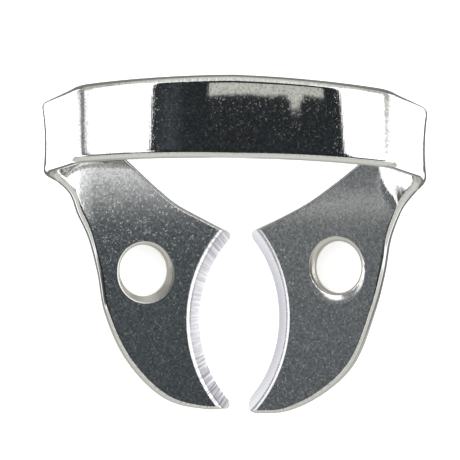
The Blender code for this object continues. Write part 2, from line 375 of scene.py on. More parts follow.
def flatPlace(side, q, y, height=0.0):
    return Vector((-side * (middleLine - q), y, clamp["sheet"] / 2 + height))


def stretchGroup():
    # one stretch of the sheet: how far it carries a point out and down, and how far it turns it
    tree = bpy.data.node_groups.new("bendStretch", "GeometryNodeTree")
    for name in ("Distance", "Start", "Length", "Curvature", "Angle"):
        tree.interface.new_socket(name, in_out="INPUT", socket_type="NodeSocketFloat")
    for name in ("Out", "Down", "Turn"):
        tree.interface.new_socket(name, in_out="OUTPUT", socket_type="NodeSocketFloat")
    given = addNode(tree, "NodeGroupInput").outputs
    past = addNode(tree, "ShaderNodeMath", {0: given["Distance"], 1: given["Start"]}, operation="SUBTRACT")
    run = addNode(tree, "ShaderNodeClamp", {"Value": past, "Max": given["Length"]})
    turn = addNode(tree, "ShaderNodeMath", {0: run, 1: given["Curvature"]}, operation="MULTIPLY")
    half = addNode(tree, "ShaderNodeMath", {0: turn, 1: 0.5}, operation="MULTIPLY")
    safe = addNode(tree, "ShaderNodeMath", {0: half, 1: 0.0001}, operation="MAXIMUM")
    wave = addNode(tree, "ShaderNodeMath", {0: safe}, operation="SINE")
    share = addNode(tree, "ShaderNodeMath", {0: wave, 1: safe}, operation="DIVIDE")
    chord = addNode(tree, "ShaderNodeMath", {0: run, 1: share}, operation="MULTIPLY")
    heading = addNode(tree, "ShaderNodeMath", {0: given["Angle"], 1: half}, operation="ADD")
    level = addNode(tree, "ShaderNodeMath", {0: heading}, operation="COSINE")
    steep = addNode(tree, "ShaderNodeMath", {0: heading}, operation="SINE")
    out = addNode(tree, "ShaderNodeMath", {0: chord, 1: level}, operation="MULTIPLY")
    down = addNode(tree, "ShaderNodeMath", {0: chord, 1: steep}, operation="MULTIPLY")
    addNode(tree, "NodeGroupOutput", {"Out": out, "Down": down, "Turn": turn})
    return tree


def bendTree(material):
    # bends the flat blank: X is the distance along the strap, Z the height in the sheet
    tree = bpy.data.node_groups.new("bendSheet", "GeometryNodeTree")
    tree.interface.new_socket("Geometry", in_out="INPUT", socket_type="NodeSocketGeometry")
    stretchNames = ("Arch", "Shoulder", "Flank", "Fold", "Sweep")
    for name in stretchNames:
        tree.interface.new_socket(name + " length", in_out="INPUT", socket_type="NodeSocketFloat")
        tree.interface.new_socket(name + " curvature", in_out="INPUT", socket_type="NodeSocketFloat")
    for name in ("Rise", "Widest height", "Widest distance", "Strap centre", "Bow lean", "Bow skew",
                 "Bow shift", "Fold shift", "Bow height", "Face lean", "Crown", "Edge fall", "Flare",
                 "Right turn", "Half strap", "Jaw distance", "Top stretch", "Slope", "Run-out start",
                 "Run-out reach", "Run-out depth", "Run-out end"):
        tree.interface.new_socket(name, in_out="INPUT", socket_type="NodeSocketFloat")
    tree.interface.new_socket("Geometry", in_out="OUTPUT", socket_type="NodeSocketGeometry")
    given = addNode(tree, "NodeGroupInput").outputs
    flat = addNode(tree, "GeometryNodeInputPosition")
    parts = addNode(tree, "ShaderNodeSeparateXYZ", {0: flat}).outputs
    distance = addNode(tree, "ShaderNodeMath", {0: parts["X"]}, operation="ABSOLUTE")
    sign = addNode(tree, "ShaderNodeMath", {0: parts["X"]}, operation="SIGN")
    side = addNode(tree, "ShaderNodeMath", {0: sign, 1: -1.0}, operation="MULTIPLY")

    # the right sweep runs out into the jaw sooner towards its front edge
    ahead = addNode(tree, "ShaderNodeMath", {0: given["Run-out start"], 1: parts["Y"]},
                    operation="SUBTRACT")
    ahead = addNode(tree, "ShaderNodeMath", {0: ahead, 1: given["Run-out reach"]}, operation="DIVIDE")
    ahead = addNode(tree, "ShaderNodeClamp", {"Value": ahead, "Max": 1.5})
    ahead = addNode(tree, "ShaderNodeMath", {0: ahead, 1: ahead}, operation="MULTIPLY")
    onRight = addNode(tree, "ShaderNodeMath", {0: side, 1: 0.0}, operation="GREATER_THAN")
    onSweep = addNode(tree, "ShaderNodeMapRange", {"Value": distance, "From Min": given["Widest distance"],
                                                   "From Max": given["Run-out end"]},
                      interpolation_type="SMOOTHSTEP")
    for factor in (given["Run-out depth"], onSweep, onRight):
        ahead = addNode(tree, "ShaderNodeMath", {0: ahead, 1: factor}, operation="MULTIPLY")
    bentAt = addNode(tree, "ShaderNodeMath", {0: distance, 1: ahead}, operation="ADD")

    oneStretch = stretchGroup()
    start, angle, out, down = 0.0, 0.0, 0.0, 0.0
    for name in stretchNames + ("Jaw",):
        values = {"Distance": bentAt, "Start": start, "Angle": angle}
        if name == "Jaw":
            values.update({"Length": 1.0, "Curvature": 0.0})
        else:
            values.update({"Length": given[name + " length"], "Curvature": given[name + " curvature"]})
        piece = addNode(tree, "GeometryNodeGroup", values, node_tree=oneStretch)
        added = (piece.outputs["Out"], piece.outputs["Down"], piece.outputs["Turn"], values["Length"])
        out, down, angle, start = (
            addNode(tree, "ShaderNodeMath", {0: sofar, 1: more}, operation="ADD")
            for sofar, more in zip((out, down, angle, start), added))
        if name == "Shoulder":
            flankFrom = start

    # what the run-out added is taken back along the jaw, which stays where it is
    jawOut = addNode(tree, "ShaderNodeMath", {0: given["Slope"]}, operation="COSINE")
    jawDown = addNode(tree, "ShaderNodeMath", {0: given["Slope"]}, operation="SINE")
    out = addNode(tree, "ShaderNodeMath", {0: ahead, 1: jawOut, 2: out}, operation="MULTIPLY_ADD")
    backUp = addNode(tree, "ShaderNodeMath", {0: ahead, 1: jawDown}, operation="MULTIPLY")
    down = addNode(tree, "ShaderNodeMath", {0: down, 1: backUp}, operation="SUBTRACT")
    x = addNode(tree, "ShaderNodeMath", {0: out, 1: side}, operation="MULTIPLY")
    z = addNode(tree, "ShaderNodeMath", {0: given["Rise"], 1: down}, operation="SUBTRACT")
    # the strap's centre leans back with height and is skewed with X
    above = addNode(tree, "ShaderNodeMath", {0: z, 1: given["Widest height"]}, operation="SUBTRACT")
    leanSlope = addNode(tree, "ShaderNodeMath", {0: given["Bow lean"]}, operation="TANGENT")
    centre = addNode(tree, "ShaderNodeMath", {0: leanSlope, 1: above, 2: given["Strap centre"]},
                     operation="MULTIPLY_ADD")
    skewed = addNode(tree, "ShaderNodeMath", {0: given["Bow skew"], 1: x}, operation="MULTIPLY")
    centre = addNode(tree, "ShaderNodeMath", {0: centre, 1: skewed}, operation="SUBTRACT")
    # the bow's top sits a little to one side
    shifted = addNode(tree, "ShaderNodeMapRange", {"Value": above, "From Max": given["Bow height"],
                                                   "To Max": given["Bow shift"]})
    x = addNode(tree, "ShaderNodeMath", {0: x, 1: shifted}, operation="ADD")
    shifted = addNode(tree, "ShaderNodeMapRange", {"Value": distance, "From Min": given["Run-out end"],
                                                   "From Max": given["Widest distance"],
                                                   "To Max": given["Fold shift"]},
                      interpolation_type="SMOOTHSTEP")
    x = addNode(tree, "ShaderNodeMath", {0: x, 1: shifted}, operation="ADD")
    offCentre = addNode(tree, "ShaderNodeMath", {0: parts["Y"], 1: centre}, operation="SUBTRACT")
    # the face's lean and crown fade out from the shoulder to the widest point
    fade = addNode(tree, "ShaderNodeMapRange", {
        "Value": distance, "From Min": flankFrom, "From Max": given["Widest distance"],
        "To Min": 1.0, "To Max": 0.0})
    faceSlope = addNode(tree, "ShaderNodeMath", {0: given["Face lean"]}, operation="TANGENT")
    faceSlope = addNode(tree, "ShaderNodeMath", {0: faceSlope, 1: fade}, operation="MULTIPLY")
    tip = addNode(tree, "ShaderNodeMath", {0: faceSlope, 1: offCentre}, operation="MULTIPLY")
    z = addNode(tree, "ShaderNodeMath", {0: z, 1: tip}, operation="SUBTRACT")
    # the strap's rear edge was drawn out thinner on the bow
    edgeFrom = addNode(tree, "ShaderNodeMath", {0: given["Half strap"], 1: clamp["drawnEdge"]},
                       operation="SUBTRACT")
    nearEdge = addNode(tree, "ShaderNodeMapRange", {"Value": offCentre, "From Min": edgeFrom,
                                                    "From Max": given["Half strap"]})
    for factor in (nearEdge, fade):
        nearEdge = addNode(tree, "ShaderNodeMath", {0: nearEdge, 1: factor}, operation="MULTIPLY")
    drawnY = addNode(tree, "ShaderNodeMath", {0: nearEdge, 1: given["Top stretch"], 2: parts["Y"]},
                     operation="MULTIPLY_ADD")
    middle = addNode(tree, "ShaderNodeCombineXYZ", {"X": x, "Y": drawnY, "Z": z})
    # square to the sheet, towards the bow's outer face
    level = addNode(tree, "ShaderNodeMath", {0: angle}, operation="COSINE")
    steep = addNode(tree, "ShaderNodeMath", {0: angle}, operation="SINE")
    steep = addNode(tree, "ShaderNodeMath", {0: steep, 1: side}, operation="MULTIPLY")
    back = addNode(tree, "ShaderNodeMath", {0: level, 1: faceSlope}, operation="MULTIPLY")
    square = addNode(tree, "ShaderNodeCombineXYZ", {"X": steep, "Y": back, "Z": level})
    square = addNode(tree, "ShaderNodeVectorMath", {0: square}, operation="NORMALIZE")
    ratio = addNode(tree, "ShaderNodeMath", {0: offCentre, 1: given["Half strap"]}, operation="DIVIDE")
    ratio = addNode(tree, "ShaderNodeMath", {0: ratio, 1: ratio}, operation="MULTIPLY")
    steepRatio = addNode(tree, "ShaderNodeMath", {0: ratio, 1: 4.0}, operation="POWER")
    falls = addNode(tree, "ShaderNodeMath", {0: steepRatio, 1: given["Edge fall"]}, operation="MULTIPLY")
    sag = addNode(tree, "ShaderNodeMath", {0: ratio, 1: given["Crown"], 2: falls}, operation="MULTIPLY_ADD")
    sag = addNode(tree, "ShaderNodeMath", {0: sag, 1: fade}, operation="MULTIPLY")
    # a strip that is bent sharply springs up at its edges
    rising = addNode(tree, "ShaderNodeMapRange", {"Value": distance, "From Min": flankFrom,
                                                  "From Max": given["Widest distance"]},
                     interpolation_type="SMOOTHSTEP")
    fading = addNode(tree, "ShaderNodeMapRange", {"Value": distance, "From Min": given["Jaw distance"],
                                                  "From Max": given["Widest distance"]},
                     interpolation_type="SMOOTHSTEP")
    window = addNode(tree, "ShaderNodeMath", {0: rising, 1: fading}, operation="MULTIPLY")
    turned, spring = onRight, window
    for factor in (given["Right turn"], window, offCentre):
        turned = addNode(tree, "ShaderNodeMath", {0: turned, 1: factor}, operation="MULTIPLY")
    for factor in (given["Flare"], ratio):
        spring = addNode(tree, "ShaderNodeMath", {0: spring, 1: factor}, operation="MULTIPLY")
    for raised in (spring, turned):
        sag = addNode(tree, "ShaderNodeMath", {0: sag, 1: raised}, operation="SUBTRACT")
    height = addNode(tree, "ShaderNodeMath", {0: parts["Z"], 1: -1.0}, operation="MULTIPLY")
    height = addNode(tree, "ShaderNodeMath", {0: height, 1: sag}, operation="SUBTRACT")
    offset = addNode(tree, "ShaderNodeVectorMath", {0: square, "Scale": height}, operation="SCALE")
    place = addNode(tree, "ShaderNodeVectorMath", {0: middle, 1: offset}, operation="ADD")
    # keeps the flat place for the finish, which was brushed on while the sheet was flat
    kept = addNode(tree, "GeometryNodeStoreNamedAttribute",
                   {"Geometry": given["Geometry"], "Name": "flatPlace", "Value": flat},
                   data_type="FLOAT_VECTOR", domain="POINT")
    bent = addNode(tree, "GeometryNodeSetPosition", {"Geometry": kept, "Position": place})
    whole = addNode(tree, "GeometryNodeRealizeInstances", {"Geometry": bent})
    slot = addNode(tree, "GeometryNodeInputMaterialIndex")
    sheetFaces = addNode(tree, "FunctionNodeCompare", {2: slot, 3: 0}, data_type="INT", operation="EQUAL")
    finished = addNode(tree, "GeometryNodeSetMaterial",
                       {"Geometry": whole, "Selection": sheetFaces, "Material": material})
    addNode(tree, "NodeGroupOutput", {"Geometry": finished})
    return tree


def setInputs(modifier, values):
    for item in modifier.node_group.interface.items_tree:
        if item.item_type == "SOCKET" and item.in_out == "INPUT" and item.name in values:
            modifier[item.identifier] = values[item.name]


def newSteel(name, color, roughness):
    material = bpy.data.materials.new(name)
    material.use_nodes = True
    tree = material.node_tree
    shader = tree.nodes["Principled BSDF"]
    feed(tree, shader, {"Base Color": hexColor(color), "Metallic": 1.0, "Roughness": roughness})
    flat = addNode(tree, "ShaderNodeAttribute", attribute_name="flatPlace").outputs["Vector"]
    return material, tree, shader, flat


polish = {
    "color": "#e2e2df",
    "darker": "#b2b3b4",
    "roughness": 0.04,
    "speckRoughness": 0.24,
    "grain": 14.0,                # specks per mm, coarser than the real ones so that they show
    "brush": (14.0, 1.6, 3.0),    # short marks per mm across and along, from the belt
    "brushDepth": 0.0000006,
    "streak": (5.0, 0.14, 1.0),   # long faint ones
    "streakDepth": 0.0000007,
    "wave": 0.45,                 # per mm, the sheet is not quite flat
    "waveDepth": 0.0000012,
    "gather": (0.74, 1.5),        # how dense the specks are
    "toneCurve": 0.7,             # below 1 the paler tones win
    "flatPart": (0.30, 0.395),    # mm from the middle of the sheet, where rounded edge turns into face
}


def speckField(tree, place, perMillimetre):
    # an even random value in each small cell of the flat sheet
    cells = addNode(tree, "ShaderNodeVectorMath", {0: place, "Scale": perMillimetre}, operation="SCALE")
    cells = addNode(tree, "ShaderNodeVectorMath", {0: cells}, operation="FLOOR")
    return addNode(tree, "ShaderNodeTexWhiteNoise", {"Vector": cells}).outputs["Value"]


def polishedSteel():
    # stainless spring steel, belt polished then tumbled: it mirrors the room, but fine grain breaks the
    # picture up into specks, and faint streaks run along the belt
    p = polish
    material, tree, shader, flat = newSteel("polishedSpringSteel", p["color"], p["roughness"])
    place = addNode(tree, "ShaderNodeVectorMath", {0: flat, "Scale": 1000.0}, operation="SCALE")
    along, short = (addNode(tree, "ShaderNodeVectorMath", {0: place, 1: p[key]},
                            operation="MULTIPLY") for key in ("streak", "brush"))
    brush = addNode(tree, "ShaderNodeTexNoise", {"Vector": short, "Scale": 1.0, "Detail": 1.0})
    streak = addNode(tree, "ShaderNodeTexNoise", {"Vector": along, "Scale": 1.0, "Detail": 3.0,
                                                  "Roughness": 0.6})
    wave = addNode(tree, "ShaderNodeTexNoise", {"Vector": place, "Scale": p["wave"], "Detail": 1.0})
    fine, coarse = speckField(tree, place, p["grain"]), speckField(tree, place, p["grain"] * 0.6)
    # specks gather along the streaks
    both = addNode(tree, "ShaderNodeMath", {0: fine, 1: coarse}, operation="MULTIPLY")
    gathered = addNode(tree, "ShaderNodeMath", {0: streak, 1: 0.5, 2: both}, operation="MULTIPLY_ADD")
    speck = addNode(tree, "ShaderNodeMapRange", {"Value": gathered, "From Min": p["gather"][0],
                                                 "From Max": p["gather"][1]})
    # tumbling wears them off the rounded edges
    height = addNode(tree, "ShaderNodeSeparateXYZ", {0: place}).outputs["Z"]
    fromMiddle = addNode(tree, "ShaderNodeMath", {0: height}, operation="ABSOLUTE")
    onFlat = addNode(tree, "ShaderNodeMapRange", {"Value": fromMiddle, "From Min": p["flatPart"][0],
                                                  "From Max": p["flatPart"][1]})
    speck = addNode(tree, "ShaderNodeMath", {0: speck, 1: onFlat}, operation="MULTIPLY")
    rough = addNode(tree, "ShaderNodeMapRange", {"Value": speck, "To Min": p["roughness"],
                                                 "To Max": p["speckRoughness"]})
    tone = addNode(tree, "ShaderNodeMath", {0: coarse, 1: p["toneCurve"]}, operation="POWER")
    # the rounded edges come cleaner out of the tumbler
    tone = addNode(tree, "ShaderNodeMath", {0: tone, 1: -1.0}, operation="ADD")
    tone = addNode(tree, "ShaderNodeMath", {0: tone, 1: onFlat, 2: 1.0}, operation="MULTIPLY_ADD")
    color = addNode(tree, "ShaderNodeMix", {0: tone, 6: hexColor(p["darker"]), 7: hexColor(p["color"])},
                    data_type="RGBA").outputs[2]
    waved = addNode(tree, "ShaderNodeBump", {"Height": wave, "Distance": p["waveDepth"]})
    streaked = addNode(tree, "ShaderNodeBump", {"Height": streak, "Distance": p["streakDepth"],
                                                "Strength": onFlat, "Normal": waved})
    grained = addNode(tree, "ShaderNodeBump", {"Height": brush, "Distance": p["brushDepth"],
                                               "Strength": onFlat, "Normal": streaked})
    feed(tree, shader, {"Roughness": rough, "Base Color": color, "Normal": grained})
    return material


grinding = {
    "color": "#fafafa",
    "darker": "#dadadd",
    "marked": "#a9a9ae",
    "roughness": 0.24,
    "spacing": 0.16,             # mm from mark to mark
    "wheelAxis": 0.0052,         # past the middle line
    "markLength": 350.0,         # marks per metre along their own length
    "depth": 0.0000012,
    "front": (-0.0005, -0.0042),   # Y over which the left jaw's coarse marks set in
    "rear": (0.0032, 0.0048),
    "rearShare": 0.55,
    "contrast": (0.38, 0.58),
}


def groundSteel():
    # the same steel off a fine wheel: duller, with marks that run across the crescent
    g = grinding
    material, tree, shader, flat = newSteel("groundSpringSteel", g["color"], g["roughness"])
    parts = addNode(tree, "ShaderNodeSeparateXYZ", {0: flat}).outputs
    # angle about the wheel's axis, the same on both jaws
    fromBow = addNode(tree, "ShaderNodeMath", {0: parts["X"]}, operation="ABSOLUTE")
    reach = addNode(tree, "ShaderNodeMath", {0: middleLine + g["wheelAxis"], 1: fromBow},
                    operation="SUBTRACT")
    angle = addNode(tree, "ShaderNodeMath", {0: parts["Y"], 1: reach}, operation="ARCTAN2")
    around = addNode(tree, "ShaderNodeMath", {0: angle, 1: grip["radius"] * 1000 / g["spacing"]},
                     operation="MULTIPLY")
    out = addNode(tree, "ShaderNodeMath", {0: reach, 1: g["markLength"]}, operation="MULTIPLY")
    marks = addNode(tree, "ShaderNodeCombineXYZ", {"X": around, "Y": out, "Z": parts["X"]})
    mark = addNode(tree, "ShaderNodeTexNoise", {"Vector": marks, "Scale": 1.0, "Detail": 3.0,
                                                "Roughness": 0.65})
    tone = addNode(tree, "ShaderNodeMapRange", {"Value": mark, "From Min": g["contrast"][0],
                                                 "From Max": g["contrast"][1]})
    # the left jaw (its flat places have X above 0) is brighter, with coarser marks at its two ends
    onLeft = addNode(tree, "ShaderNodeMath", {0: parts["X"], 1: 0.0}, operation="GREATER_THAN")
    atFront = addNode(tree, "ShaderNodeMapRange", {"Value": parts["Y"], "From Min": g["front"][0],
                                                   "From Max": g["front"][1]})
    atRear = addNode(tree, "ShaderNodeMapRange", {"Value": parts["Y"], "From Min": g["rear"][0],
                                                  "From Max": g["rear"][1],
                                                  "To Max": g["rearShare"]})
    atEnds = addNode(tree, "ShaderNodeMath", {0: atFront, 1: atRear}, operation="ADD")
    coarse = addNode(tree, "ShaderNodeMath", {0: onLeft, 1: atEnds}, operation="MULTIPLY")
    dark = addNode(tree, "ShaderNodeMix", {0: coarse, 6: hexColor(g["darker"]), 7: hexColor(g["marked"])},
                   data_type="RGBA").outputs[2]
    light = addNode(tree, "ShaderNodeMix", {0: onLeft, 6: hexColor(g["darker"]), 7: hexColor(g["color"])},
                    data_type="RGBA").outputs[2]
    color = addNode(tree, "ShaderNodeMix", {0: tone, 6: dark, 7: light}, data_type="RGBA").outputs[2]
    rough = addNode(tree, "ShaderNodeMapRange", {"Value": mark, "To Min": g["roughness"] + 0.12,
                                                 "To Max": g["roughness"] - 0.08})
    bumped = addNode(tree, "ShaderNodeBump", {"Height": mark, "Distance": g["depth"]})
    feed(tree, shader, {"Base Color": color, "Roughness": rough, "Normal": bumped})
    return material


reaming = {"color": "#d2d0ca", "roughness": 0.34, "depth": 0.0000025, "rings": (600.0, 600.0, 12000.0)}


def reamedSteel():
    # walls of the forceps holes: reamed, then tumbled, with fine rings down the bore
    r = reaming
    material, tree, shader, flat = newSteel("reamedSpringSteel", r["color"], r["roughness"])
    rings = addNode(tree, "ShaderNodeVectorMath", {0: flat, 1: r["rings"]}, operation="MULTIPLY")
    ring = addNode(tree, "ShaderNodeTexNoise", {"Vector": rings, "Scale": 1.0, "Detail": 2.0})
    rough = addNode(tree, "ShaderNodeMapRange", {"Value": ring, "To Min": r["roughness"] - 0.08,
                                                 "To Max": r["roughness"] + 0.1})
    bumped = addNode(tree, "ShaderNodeBump", {"Height": ring, "Distance": r["depth"]})
    feed(tree, shader, {"Roughness": rough, "Normal": bumped})
    return material


steel, ground, reamed = polishedSteel(), groundSteel(), reamedSteel()
print("steels made")


def makeClamp():
    body = newObject("clampBody", flatBlank())
    for material in (steel, ground, reamed):
        body.data.materials.append(material)
    thick = body.modifiers.new("sheet", "SOLIDIFY")
    thick.thickness = clamp["sheet"]
    thick.offset = 0.0
    edge = body.modifiers.new("tumbledEdge", "BEVEL")
    edge.width = clamp["edgeRound"]
    edge.segments = clamp["edgeSteps"]
    edge.limit_method = "WEIGHT"
    edge.use_clamp_overlap = False
    edge.loop_slide = False
    cutters = []
    for name, jaw in jaws.items():
        side = jaw["side"]
        cutters.append(turnedCutter(name + "Hole", holeProfile(forceps["rim"][name]), forceps["steps"],
                                    flatPlace(side, *jaw["hole"]), reamed))
        # the flat at the left rim was left rough, the hollow at the right one is polished like the face
        q, y = (jaw["hole"][i] + dressedRim[name]["shift"][i] for i in (0, 1))
        cutters.append(turnedCutter(name + "Dressed", dressedProfile(dressedRim[name]), forceps["steps"],
                                    flatPlace(side, q, y), reamed if side < 0 else steel))
        cutters.append(turnedCutter(name + "Grip", gripProfile(), grip["steps"],
                                    flatPlace(side, *jaw["gripCentre"]), ground))
    for cutter in cutters:
        cut = body.modifiers.new(cutter.name, "BOOLEAN")
        cut.operation, cut.solver, cut.object = "DIFFERENCE", "EXACT", cutter
        cut.material_mode = "TRANSFER"
    bender = body.modifiers.new("bend", "NODES")
    bender.node_group = bendTree(steel)
    values = {"Rise": rise, "Widest height": widestZ, "Widest distance": widest, "Slope": slope,
              "Bow height": rise - widestZ, "Strap centre": clamp["strapCentreY"],
              "Half strap": clamp["strapTop"] / 2, "Jaw distance": foldEnd,
              "Run-out end": foldEnd + clamp["runOutEnd"]}
    values.update(zip(("Run-out start", "Run-out reach", "Run-out depth"), clamp["runOut"]))
    for key, name in (("bowLean", "Bow lean"), ("bowSkew", "Bow skew"), ("faceLean", "Face lean"),
                      ("bowShift", "Bow shift"), ("foldShift", "Fold shift"), ("crown", "Crown"),
                      ("topStretch", "Top stretch"), ("edgeFall", "Edge fall"), ("flare", "Flare"),
                      ("rightTurn", "Right turn")):
        values[name] = clamp[key]
    for name, length, curve in stretches:
        values[name.capitalize() + " length"] = length
        values[name.capitalize() + " curvature"] = curve
    setInputs(bender, values)
    bpy.context.view_layer.update()
    mesh = bpy.data.meshes.new_from_object(body.evaluated_get(bpy.context.evaluated_depsgraph_get()))
    mesh.name = "clampBody"
    body.modifiers.clear()
    body.data = mesh
    for cutter in cutters:
        bpy.data.objects.remove(cutter)
    mesh.shade_smooth()
    mesh.set_sharp_from_angle(angle=radians(38))
    weighted = body.modifiers.new("flatFaces", "WEIGHTED_NORMAL")
    weighted.keep_sharp = True
    weighted.weight = 50
    return body


body = makeClamp()
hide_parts("clamp_body")
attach(body, "root")
print("clamp bent:", len(body.data.polygons), "faces")

camera = {
    "turn": radians(3.8),      # seen from a little to the right
    "roll": radians(-1.4),
    "distance": 0.300,
    "pixelsPerMetre": 15100,   # at the aim point
    "frame": 460,
    "aimPixel": (241.3, 270.0),   # where the point on the middle line between the holes shows
    "aim": (0.0, 0.0032, 0.0),
    "sensor": 36.0,
}


def makeCamera():
    c = camera
    toCamera = Vector((sin(c["turn"]), 0, cos(c["turn"])))
    up = Vector((0, 1, 0))
    right = up.cross(toCamera)
    rolledRight = right * cos(c["roll"]) + up * sin(c["roll"])
    rolledUp = up * cos(c["roll"]) - right * sin(c["roll"])
    aim = Vector(c["aim"])
    eye = aim + toCamera * c["distance"]
    middle = c["frame"] / 2
    target = (aim + rolledRight * (middle - c["aimPixel"][0]) / c["pixelsPerMetre"]
              - rolledUp * (middle - c["aimPixel"][1]) / c["pixelsPerMetre"])
    back = (eye - target).normalized()
    side = rolledUp.cross(back).normalized()
    top = back.cross(side)
    data = bpy.data.cameras.new("photoCamera")
    data.sensor_width = c["sensor"]
    data.lens = c["pixelsPerMetre"] * c["distance"] / c["frame"] * c["sensor"]
    data.clip_start, data.clip_end = 0.01, 10.0
    eyeObject = newObject("photoCamera", data)
    turned = Matrix((side, top, back)).transposed().to_4x4()
    eyeObject.matrix_world = Matrix.Translation(eye) @ turned
    bpy.context.scene.camera = eyeObject


makeCamera()

studio = {
    "half": 0.6,               # of the floor
    "tableGap": 0.0001,
    "cardHeight": 0.32,        # behind the camera
    "cardGlow": 1.6,
    "room": 2.2,
    "back": "#b5b5b2",         # wall above the back of the table
    "backLow": "#949491",
    "front": "#a1a29e",
    "frame": "#6f7073",        # of the window on the left
    "slot": "#4f4a4d",
    # directions in the room: low, high and softness
    "backY": (0.60, 0.74),
    "backX": (-0.50, 0.58, 0.09),
    "backZ": (0.10, 0.45),
    "sideY": (0.34, 0.95, 0.08),
    "sideZ": (-0.3, 0.45, 0.1),
    "frontY": (-0.22, -0.34),
    "frameX": (-0.875, -0.765, 0.02),
    "frameY": (0.05, 0.55, 0.04),
    "slotX": (-0.60, -0.70),
    "slotY": (-0.27, -0.10, 0.03),
    "climbFrom": 0.05,         # X where a card's edges start to climb
    "climbMargin": 0.03,
    "toneY": (-0.03, 0.25),    # a card's two tones stay within this
    "cardStep": 0.0005,        # each card hangs this much lower than the last
    "paper": "#f4f4f3",
    "paperGlow": 0.35,
}

# what the steel mirrors from above: corners, softness, tones along Y, and how far the right part climbs
cards = {
    "stripCard": {"low": (-0.400, -0.085), "high": (0.300, 0.012), "soft": 0.014,
                  "tones": ("#2c2e30", "#1f2123")},
    "middleCard": {"low": (-0.190, -0.010), "high": (0.246, 0.140), "soft": 0.014,
                   "tones": ("#2a2a28", "#232426")},
    "leftJawCard": {"low": (0.232, -0.105), "high": (0.464, 0.020), "soft": 0.012,
                    "tones": ("#3c4144", "#4c5154")},
    "rightJawCard": {"low": (-0.400, -0.105), "high": (-0.240, 0.060), "soft": 0.016,
                     "tones": ("#505457", "#7a7c7e")},
    "smokeCard": {"low": (-0.420, 0.0125), "high": (-0.300, 0.0155), "soft": 0.002,
                  "tones": ("#a0a0a0", "#a0a0a0")},
    "bowCard": {"low": (-0.204, 0.120), "high": (0.246, 0.305), "soft": 0.005,
                "tones": ("#24272a", "#26292b")},
    "bowLeftCard": {"low": (-0.185, 0.125), "high": (-0.130, 0.300), "soft": 0.020,
                    "tones": ("#3a3e42", "#33373b")},
    "patchCard": {"low": (-0.066, 0.2022), "high": (0.192, 0.2360), "soft": 0.0015,
                  "tones": ("#b9b9b3", "#a8a8a2"), "climb": 0.11},
    "dripCard": {"low": (0.099, 0.1960), "high": (0.137, 0.2030), "soft": 0.0015,
                 "tones": ("#b3b3ad", "#b3b3ad"), "climb": 0.11},
    "dropCard": {"low": (0.106, 0.1903), "high": (0.127, 0.2000), "soft": 0.0018,
                 "tones": ("#adada8", "#b3b3ad"), "climb": 0.11},
}


def softBox(tree, value, low, high, soft):
    # 1 between low and high, with soft borders
    rising, falling = (
        addNode(tree, "ShaderNodeMapRange", {"Value": value, "From Min": start, "From Max": end},
                interpolation_type="SMOOTHSTEP")
        for start, end in ((low - soft, low + soft), (high + soft, high - soft)))
    return addNode(tree, "ShaderNodeMath", {0: rising, 1: falling}, operation="MULTIPLY")


def glowMaterial(name):
    material = bpy.data.materials.new(name)
    material.use_nodes = True
    tree = material.node_tree
    tree.nodes.clear()
    place = addNode(tree, "ShaderNodeTexCoord").outputs["Object"]
    return material, tree, addNode(tree, "ShaderNodeSeparateXYZ", {0: place}).outputs


def onlyMirrored(thing):
    for name in ("visible_camera", "visible_diffuse", "visible_shadow", "visible_transmission"):
        setattr(thing, name, False)


def flatSquare(name, low, high, height, material):
    mesh = bpy.data.meshes.new(name)
    mesh.from_pydata([(low[0], low[1], height), (high[0], low[1], height), (high[0], high[1], height),
                      (low[0], high[1], height)], [], [(0, 1, 2, 3)])
    mesh.materials.append(material)
    return newObject(name, mesh)


def makeCard(name, order):
    card = cards[name]
    low, high, soft, (lowColor, highColor) = card["low"], card["high"], card["soft"], card["tones"]
    material, tree, parts = glowMaterial(name)
    rightPart = addNode(tree, "ShaderNodeMath", {0: parts["X"], 1: studio["climbFrom"]},
                        operation="SUBTRACT")
    rightPart = addNode(tree, "ShaderNodeMath", {0: rightPart, 1: 0.0}, operation="MAXIMUM")
    levelled = addNode(tree, "ShaderNodeMath", {0: rightPart, 1: -card.get("climb", 0.0), 2: parts["Y"]},
                       operation="MULTIPLY_ADD")
    across = softBox(tree, parts["X"], low[0], high[0], soft)
    along = softBox(tree, levelled, low[1], high[1], soft)
    mask = addNode(tree, "ShaderNodeMath", {0: across, 1: along}, operation="MULTIPLY")
    bottom, top = studio["toneY"]
    share = addNode(tree, "ShaderNodeMapRange", {"Value": parts["Y"], "From Min": max(low[1], bottom),
                                                 "From Max": min(high[1], top)})
    color = addNode(tree, "ShaderNodeMix", {0: share, 6: hexColor(lowColor), 7: hexColor(highColor)},
                    data_type="RGBA").outputs[2]
    glow = addNode(tree, "ShaderNodeEmission", {"Color": color, "Strength": studio["cardGlow"]})
    clear = addNode(tree, "ShaderNodeBsdfTransparent")
    mixed = addNode(tree, "ShaderNodeMixShader", {0: mask, 1: clear, 2: glow})
    addNode(tree, "ShaderNodeOutputMaterial", {"Surface": mixed})
    margin = 2 * soft + (studio["climbMargin"] if "climb" in card else 0)
    grown = [(low[i] - margin, high[i] + margin) for i in (0, 1)]
    height = studio["cardHeight"] - studio["cardStep"] * order
    onlyMirrored(flatSquare(name, (grown[0][0], grown[1][0]), (grown[0][1], grown[1][1]), height, material))


